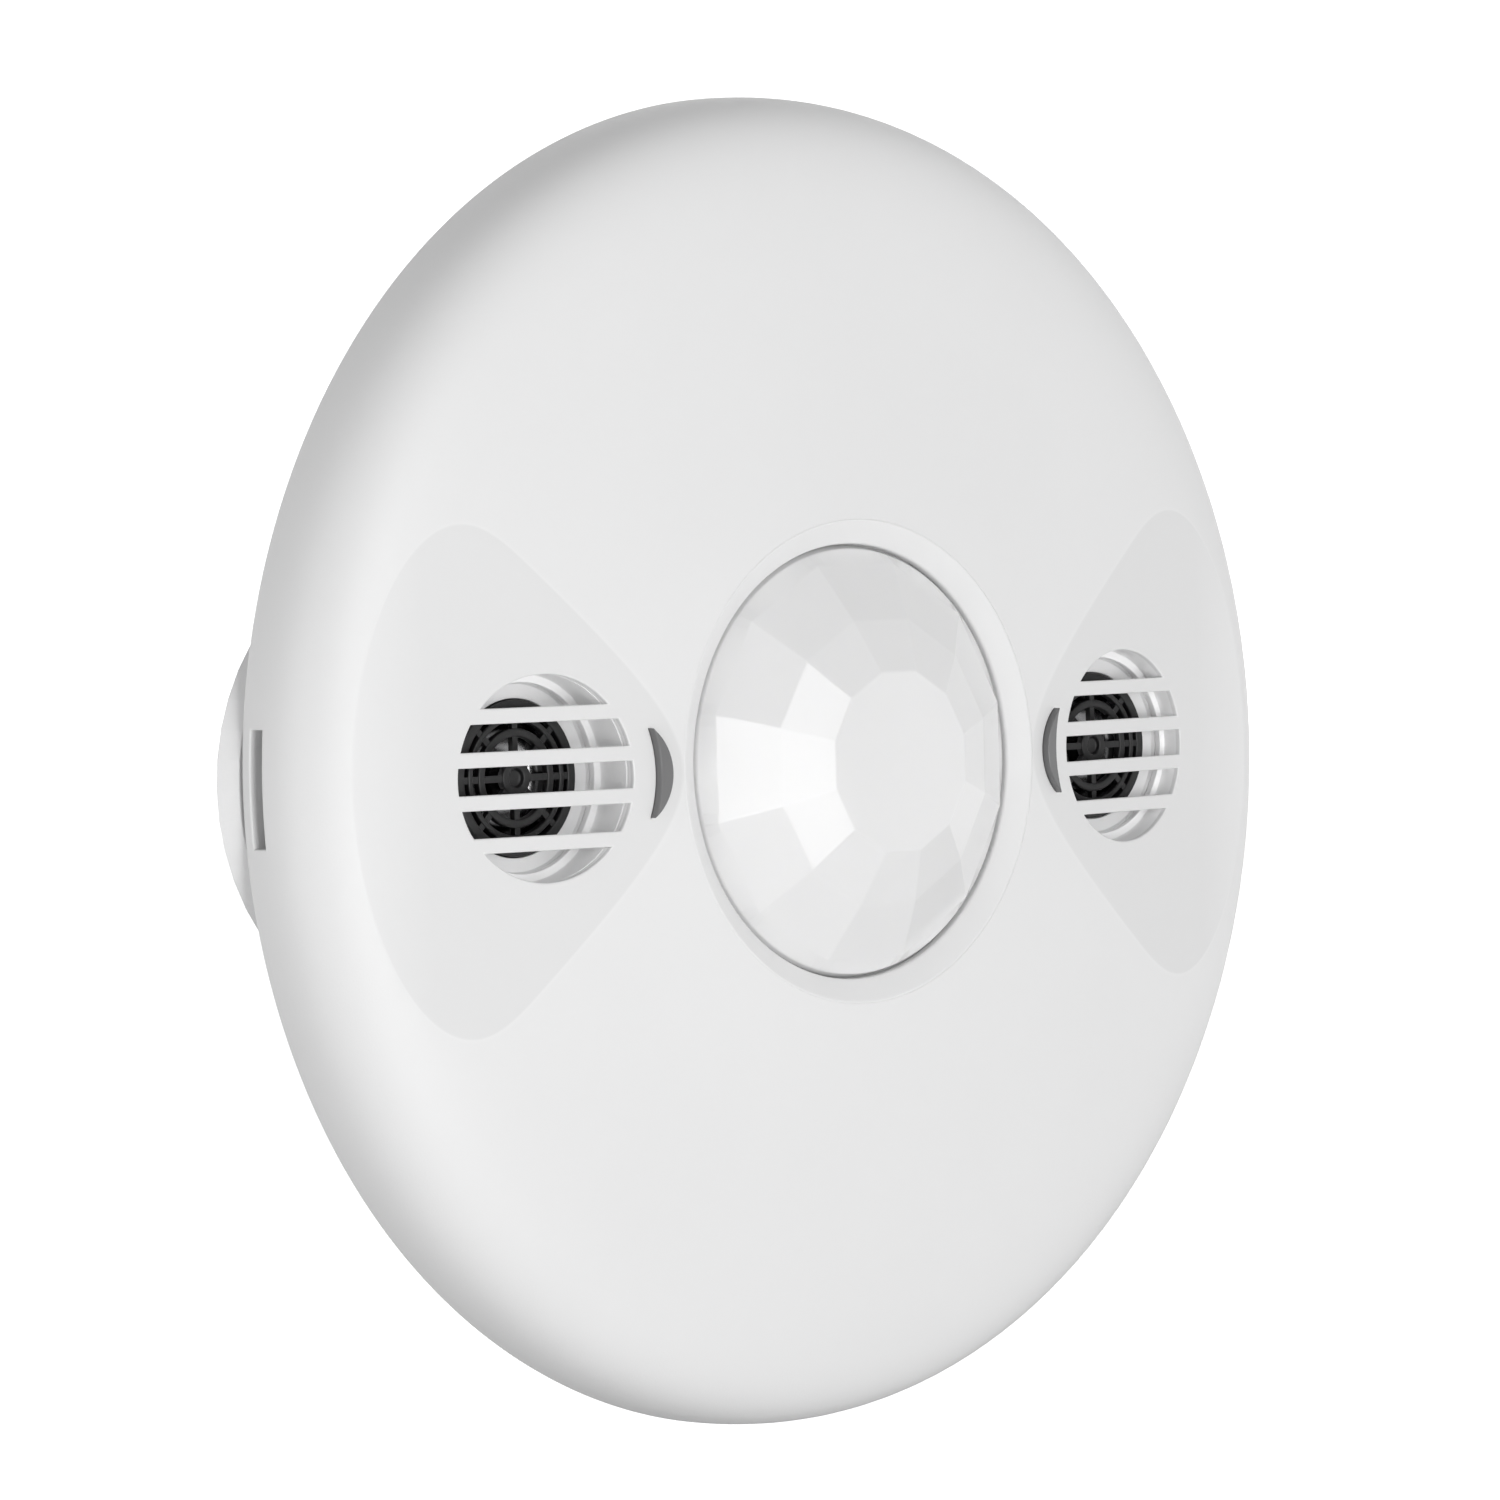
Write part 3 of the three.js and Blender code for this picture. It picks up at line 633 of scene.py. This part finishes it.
# ---- front cover: hole outlines ----
def resample(points, spacing):
    """Even points along each side of a closed outline, corners kept."""
    result = []
    for i, a in enumerate(points):
        b = points[(i + 1) % len(points)]
        count = max(1, round(math.dist(a, b) / spacing))
        for k in range(count):
            result.append((a[0] + (b[0] - a[0]) * k / count, a[1] + (b[1] - a[1]) * k / count))
    return result


def grown(outline, amount):
    """Offsets a counter-clockwise outline outwards, mitred at its corners."""
    p = np.asarray(outline, float)
    before, after = p - np.roll(p, 1, 0), np.roll(p, -1, 0) - p
    before /= np.hypot(*before.T)[:, None]
    after /= np.hypot(*after.T)[:, None]
    normals = np.stack([before[:, 1] + after[:, 1], -before[:, 0] - after[:, 0]], 1)
    normals /= np.hypot(*normals.T)[:, None]
    facing = (normals * np.stack([after[:, 1], -after[:, 0]], 1)).sum(1)
    return p + normals * (amount / np.maximum(facing, 0.4))[:, None]


def grille_outlines():
    """The five slots between the bars, about the grille's centre, counter-clockwise."""
    edges = [-GRILLE_ENDS]
    for centre in BAR_CENTRES:
        edges += [centre - BAR_HALF, centre + BAR_HALF]
    edges.append(GRILLE_ENDS)
    outlines = []
    for low, high in zip(edges[::2], edges[1::2]):
        a, b = math.asin(low / GRILLE_RADIUS), math.asin(high / GRILLE_RADIUS)
        steps = max(4, round((b - a) * GRILLE_RADIUS / 0.4))
        both = arc((0, 0), GRILLE_RADIUS, a, b, steps)
        both += arc((0, 0), GRILLE_RADIUS, math.pi - b, math.pi - a, steps)
        joined = [p for i, p in enumerate(both) if i == 0 or math.dist(p, both[i - 1]) > 0.3]
        outlines.append(resample(joined, OUTLINE_SPACING))
    return outlines


def crescent_outline(gap=0.0):
    c = CRESCENT
    bulge = math.atan2(c["tip_z"], c["tip_x"] - c["centre"])
    hollow = math.atan2(c["tip_z"], c["tip_x"])
    outer = arc((c["centre"], 0), c["outer"] - gap, -bulge, bulge, 20)
    inner = arc((0, 0), c["inner"] + gap, hollow, -hollow, 16)
    return outer[:-1] + inner[:-1]


def cover_holes(dome):
    """Unrolled hole outlines: a function of the offset for each, so that edges can be rounded."""
    def on_flat(outline, sign):
        base = np.asarray(outline, float)
        return lambda amount: dome.from_plan((grown(base, amount) + [-GRILLE_X, 0]) * sign)

    def on_skirt(outline, sign):
        base = np.array(outline)
        return lambda amount: dome.from_skirt(grown(base, amount)) * sign

    corners = [(WINDOW_NEAR, -WINDOW_HALF), (WINDOW_FAR, -WINDOW_HALF), (WINDOW_FAR, WINDOW_HALF),
               (WINDOW_NEAR, WINDOW_HALF)]
    holes = []
    for sign in (1, -1):
        holes += [on_flat(outline, sign) for outline in grille_outlines() + [crescent_outline()]]
        holes.append(on_skirt(resample(corners, WINDOW_SPACING), sign))
    return holes


# ---- front cover: skins and walls ----
def counter_clockwise(places):
    x, y = places[:, 0], places[:, 1]
    area = (x * np.roll(y, -1) - np.roll(x, -1) * y).sum()
    return places if area > 0 else places[::-1]


def circle_places(reach, count):
    angles = np.linspace(0, 2 * math.pi, count, endpoint=False)
    return np.stack([np.cos(angles), np.sin(angles)], 1) * reach


def clear_of(points, others, distance):
    tree = kdtree.KDTree(len(others))
    for i, (x, y) in enumerate(others):
        tree.insert((x, y, 0), i)
    tree.balance()
    return np.array([tree.find((x, y, 0))[2] > distance for x, y in points])


def crease_points(dome):
    """Rows of unrolled places beside both flats' creases."""
    crease = dome.crease(CREASE_SPACING)
    rows = []
    for offset in CREASE_ROWS:
        for sign in (1, -1):
            plan = grown(crease, offset) * sign
            rows.append(dome.from_plan(plan[np.hypot(*plan.T) > DOME_START + 0.05]))
    return np.concatenate(rows)


def skin_points(dome, loops, spacing):
    """Hexagonal grid over the unrolled cover, with extra rows along the flats' creases."""
    rows = []
    height = spacing * math.sqrt(3) / 2
    for k in range(int(-dome.end / height) - 1, int(dome.end / height) + 2):
        x = np.arange(-dome.end, dome.end, spacing) + (k % 2) * spacing / 2
        rows.append(np.stack([x, np.full_like(x, k * height)], 1))
    grid = np.concatenate(rows)
    reach = np.hypot(*grid.T)
    grid = grid[(reach > DOME_START + spacing / 3) & (reach < dome.end - spacing / 3)]
    edges = np.concatenate(loops)
    extra = crease_points(dome)
    extra = extra[clear_of(extra, edges, 0.14)]
    grid = grid[clear_of(grid, np.concatenate([edges, extra]), spacing * 0.55)]
    return np.concatenate([extra, grid])


class Walls:
    """The cover's outer and inner skins, and the edges that are built between them."""

    def __init__(self, dome, holes):
        """Meshes both skins; self.rings holds the outer points round the rim, dish and holes."""
        loops = [circle_places(dome.end, RIM_POINTS), circle_places(DOME_START, DISH_POINTS)]
        loops += [counter_clockwise(hole(HOLE_EDGE)) for hole in holes]
        loose = skin_points(dome, loops, SKIN_SPACING)
        starts = np.cumsum([0] + [len(loop) for loop in loops])
        rings = [list(range(a, b)) for a, b in zip(starts, starts[1:])]
        places = [Vector(p) for p in np.concatenate(loops + [loose])]
        made = geometry.delaunay_2d_cdt(places, [], rings, 0, 1e-5)
        found, triangles, origins, owners = np.array(made[0]), made[2], made[3], made[5]
        index = {old: new for new, olds in enumerate(origins) for old in olds}
        outer = [tuple(t) for t, owner in zip(triangles, owners) if set(owner) == {0}]
        self.half = len(found)
        self.rings = [[index[i] for i in ring] for ring in rings]
        self.points = list(dome.surface(found)) + list(dome.surface(found, WALL))
        self.faces = outer + [tuple(i + self.half for i in t[::-1]) for t in outer]

    def edge(self, ring, rows, flip=False):
        """Joins a ring of the outer skin, through new rows of points, to the inner skin."""
        last = ring
        for row in rows:
            self.points.extend(row)
            following = list(range(len(self.points) - len(row), len(self.points)))
            self.strip(last, following, flip)
            last = following
        self.strip(last, [i + self.half for i in ring], flip)

    def strip(self, first, second, flip):
        count = len(first)
        for i in range(count):
            j = (i + 1) % count
            quad = (first[i], first[j], second[j], second[i])
            self.faces.append(quad[::-1] if flip else quad)


def circles(profile, count):
    """A ring of points for each (radius, depth) of a profile."""
    return [[(radius * c, at(depth), radius * s) for c, s in circle_places(1, count)]
            for radius, depth in profile]


def hole_rows(dome, hole):
    """Rows that round a hole's edge over, from the skin down into the hole."""
    rows = []
    for angle in (math.radians(30), math.radians(60), math.radians(90)):
        offset = HOLE_EDGE * (1 - math.sin(angle))
        drop = HOLE_EDGE * (1 - math.cos(angle))
        rows.append(dome.surface(counter_clockwise(hole(offset)), drop))
    return rows


def rim_profile():
    profile = []
    for angle in (math.pi / 6, math.pi / 3, math.pi / 2):
        inward, depth = RIM_EDGE * (1 - math.cos(angle)), RIM_EDGE * (1 - math.sin(angle))
        profile.append((COVER_RADIUS - inward, depth))
    return profile + [(COVER_RADIUS - WALL, 0.0)]


def dish_profile(dome):
    back = dome.depth[0] - WALL
    corners = [(DOME_START, dome.depth[0]), (DISH_RADIUS, CROWN_DEPTH), (LENS_HOLE_RADIUS, DISH_FLOOR),
               (LENS_HOLE_RADIUS, back), (DOME_START - 0.2, back)]
    return [p for p in rounded(corners, DISH_EDGE) if p[0] < DOME_START - 0.01][:-1]


def collar_shell():
    """The tube behind each grille, about the grille's axis, cut off along the flat."""
    front, back, ledge = at(9.5), at(COLLAR["back"]), at(LEDGE["depth"])
    profile = [(COLLAR["inner"], front), (COLLAR["outer"], front), (COLLAR["outer"], back),
               (LEDGE["radius"], back), (LEDGE["radius"], ledge), (COLLAR["inner"], ledge)]
    points, faces = revolve(rounded(profile, 0.1), 128)
    top = at(9.0)
    slanted = [(x, at(flat_depth(x - GRILLE_X) - COLLAR["drop"]) if y < top else y, z)
               for x, y, z in points]
    return slanted, faces


def make_cover():
    dome = Dome()
    holes = cover_holes(dome)
    walls = Walls(dome, holes)
    rim, dish, *hole_rings = walls.rings
    for ring, hole in zip(hole_rings, holes):
        walls.edge(ring, hole_rows(dome, hole), flip=True)
    walls.edge(rim, circles(rim_profile(), len(rim)))
    walls.edge(dish, circles(dish_profile(dome), len(dish)), flip=True)
    shape = Shape().add(*outward([tuple(p) for p in walls.points], walls.faces))
    for angle in SIDES.values():
        shape.add(*collar_shell(), move=turn(angle) @ shift(-GRILLE_X))
    piece(shape.thing("front_cover_shell"), "cover", "cover_plastic", "front_cover")


# ---- lens and indicator windows ----
def lens_ring(radius, y, roundness=0.0):
    """A twelve-sided ring, drawn with several points on each side, or a circle at roundness 1."""
    points = []
    step = 2 * math.pi / LENS_SIDES
    for k in range(LENS_SIDES * LENS_SAMPLES):
        angle = step * (k / LENS_SAMPLES + 0.5)
        across = (k / LENS_SAMPLES) % 1 - 0.5
        polygon = math.cos(step / 2) / math.cos(across * step)
        r = radius * (polygon * (1 - roundness) + roundness)
        points.append((r * math.cos(angle), y, r * math.sin(angle)))
    return points


def lens_faces(count, rings, flat_pairs):
    """Joins rings of count points, with one face per side of the lens between flat pairs."""
    faces = []
    for k in range(rings - 1):
        run = LENS_SAMPLES if k in flat_pairs else 1
        for start in range(0, count, run):
            span = [(start + i) % count for i in range(run + 1)]
            faces.append([k * count + i for i in span] + [(k + 1) * count + i for i in span[::-1]])
    faces.append(list(range(count))[::-1])
    faces.append([(rings - 1) * count + i for i in range(count)])
    return faces


def make_lens():
    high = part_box("pir_lens")[1]
    flange_radius, flange_back = high.x / MM, high.y / MM
    outer = [lens_ring(r, at(d)) for r, d in LENS_RINGS]
    outer += [lens_ring(r, at(d), 1.0) for r, d in LENS_NECK]
    outer.append(lens_ring(flange_radius - 0.1, at(LENS_FLANGE_DEPTH), 1.0))
    outer.append(lens_ring(flange_radius, flange_back, 1.0))
    inner = [lens_ring(LENS_CAVITY_RADIUS, flange_back)]
    inner += [lens_ring(r - LENS_WALL["radius"], at(d - LENS_WALL["depth"])) for r, d in LENS_RINGS[::-1]]
    rings = outer + inner
    flat_pairs = [0, 1, len(rings) - 3, len(rings) - 2]
    faces = lens_faces(len(rings[0]), len(rings), flat_pairs)
    shell = outward([p for ring in rings for p in ring], faces)
    lens = piece(Shape().add(*shell).thing("faceted_lens"), "cover", "lens_plastic", "pir_lens", angle=4)
    bevel(lens, 0.1, 2, 4.5)


def make_indicator_windows():
    for word, angle in SIDES.items():
        outline = [(x - GRILLE_X, z) for x, z in crescent_outline(CRESCENT_GAP)]
        points, faces = prism(outline, at(14), at(CRESCENT_BACK))
        trimmed = [(x, max(y, at(flat_depth(x) + CRESCENT_PROUD)), z) for x, y, z in points]
        window = Shape().add(trimmed, faces, move=turn(angle)).thing("crescent_window_" + word)
        piece(window, "cover", "smoked_plastic", "indicator_window_" + word, rounding=0.2)


# ---- ultrasonic transducers ----
def behind_face(profile):
    """A profile given as (radius, distance behind the transducer's face)."""
    return [(radius, at(TRANSDUCER_FACE) + back) for radius, back in profile]


def make_holder(word, place):
    h = HOLDER
    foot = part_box("transducer_holder_" + word)[1].y / MM
    lip, seat, flange_back = (at(HOLDER_DEPTHS[k]) for k in ("lip", "seat", "flange_back"))
    profile = [(h["bore"], foot), (h["bore"], lip), (h["lip_outer"], lip), (h["seat_inner"], seat),
               (h["flange"], seat), (h["flange"], flange_back), (h["outer"], flange_back), (h["outer"], foot)]
    thing = Shape().add(*revolve(rounded(profile, 0.08), 128), move=place).thing("transducer_tube_" + word)
    piece(thing, "base", "white_plastic", "transducer_holder_" + word)


def make_spider(word, place):
    """The black face grille: rings and a closed hub, joined by spokes."""
    spider = Shape()
    for inner, outer in SPIDER_RINGS:
        ring = [(inner, 0), (outer, 0), (outer, SPIDER_THICKNESS), (inner, SPIDER_THICKNESS)]
        spider.add(*revolve(rounded(behind_face(ring), 0.12), 72), move=place)
    spider.add(*revolve(rounded(behind_face(HUB), 0.1), 48), move=place)
    face = at(TRANSDUCER_FACE)
    for k in range(SPOKES):
        spoke = box_shell((SPOKE["inner"], SPOKE["outer"]), (face + SPOKE["front"], face + SPOKE["back"]),
                          (-SPOKE["half"], SPOKE["half"]))
        spider.add(*spoke, move=place @ turn(2 * math.pi * k / SPOKES))
    thing = spider.thing("transducer_spider_" + word)
    piece(thing, "base", "black_plastic", "transducer_grille_" + word)


def make_horn(word, place):
    thing = Shape().add(*revolve(behind_face(HORN)), move=place).thing("transducer_horn_" + word)
    piece(thing, "base", "cone_metal", "transducer_cone_" + word)


def make_case(word, place):
    low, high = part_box("transducer_can_" + word)
    front, back = low.y / MM, high.y / MM
    floor = back - CAN["floor"]
    profile = [(0, floor), (CAN["bore"], floor), (CAN["bore"], front), (CAN["radius"], front),
               (CAN["radius"], back), (0, back)]
    thing = Shape().add(*revolve(rounded(profile, 0.2)), move=place).thing("transducer_case_" + word)
    piece(thing, "base", "dark_metal", "transducer_can_" + word)


def make_transducers():
    for word, angle in SIDES.items():
        place = turn(angle) @ shift(-GRILLE_X)
        make_holder(word, place)
        make_spider(word, place)
        make_horn(word, place)
        make_case(word, place)


# ---- small metalwork ----
def chip_leads(x, z, board):
    """Gull-wing leads along a chip's two sides, from half its height down to the board."""
    leads = Shape()
    count = int((z[1] - z[0] - 1) / LEAD_PITCH)
    for i in range(count):
        middle = (z[0] + z[1]) / 2 + (i - (count - 1) / 2) * LEAD_PITCH
        width = (middle - LEAD_HALF, middle + LEAD_HALF)
        for edge, out in ((x[0], -1), (x[1], 1)):
            for reach, height in LEAD_PARTS:
                across = sorted(edge + out * r for r in reach)
                leads.add(*box_shell(across, (board - height[1], board - height[0]), width))
    return leads


def make_leads():
    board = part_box("main_board")[0].y / MM
    for node in ("control_chip", "amplifier_chip"):
        low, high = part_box(node)
        leads = chip_leads((low.x / MM, high.x / MM), (low.z / MM, high.z / MM), board)
        piece(leads.thing(node + "_leads"), "base", "tinned_copper", rounding=0.03)


def thread_profile(end):
    """Zigzag of roots and crests over a core, from the thread's start to its end."""
    profile = [(THREAD["core"], THREAD["start"])]
    for i in range(int((end - THREAD["start"]) / THREAD["pitch"])):
        y = THREAD["start"] + i * THREAD["pitch"]
        profile += [(THREAD["root"], y), (THREAD["crest"], y + THREAD["pitch"] / 2)]
    return profile + [(THREAD["root"], end), (THREAD["core"], end)]


def make_threads():
    """Ridges on the part of each mounting screw that stands out of the ceiling side."""
    for word in ("top", "bottom"):
        low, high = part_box("mounting_screw_" + word)
        x, z = (low.x + high.x) / 2 / MM, (low.z + high.z) / 2 / MM
        ridges = revolve(thread_profile(high.y / MM - THREAD["point"]), 32)
        thing = Shape().add(*ridges, move=shift(x, 0, z)).thing("screw_thread_" + word)
        piece(thing, "base", "bright_metal", angle=80)


# ---- assembly ----
make_camera()
make_stage()
LOOKS = make_materials()
make_cover()
make_lens()
make_indicator_windows()
make_transducers()
make_leads()
make_threads()
for look, names in KEPT_NODES.items():
    for name in names:
        dress(name, look)
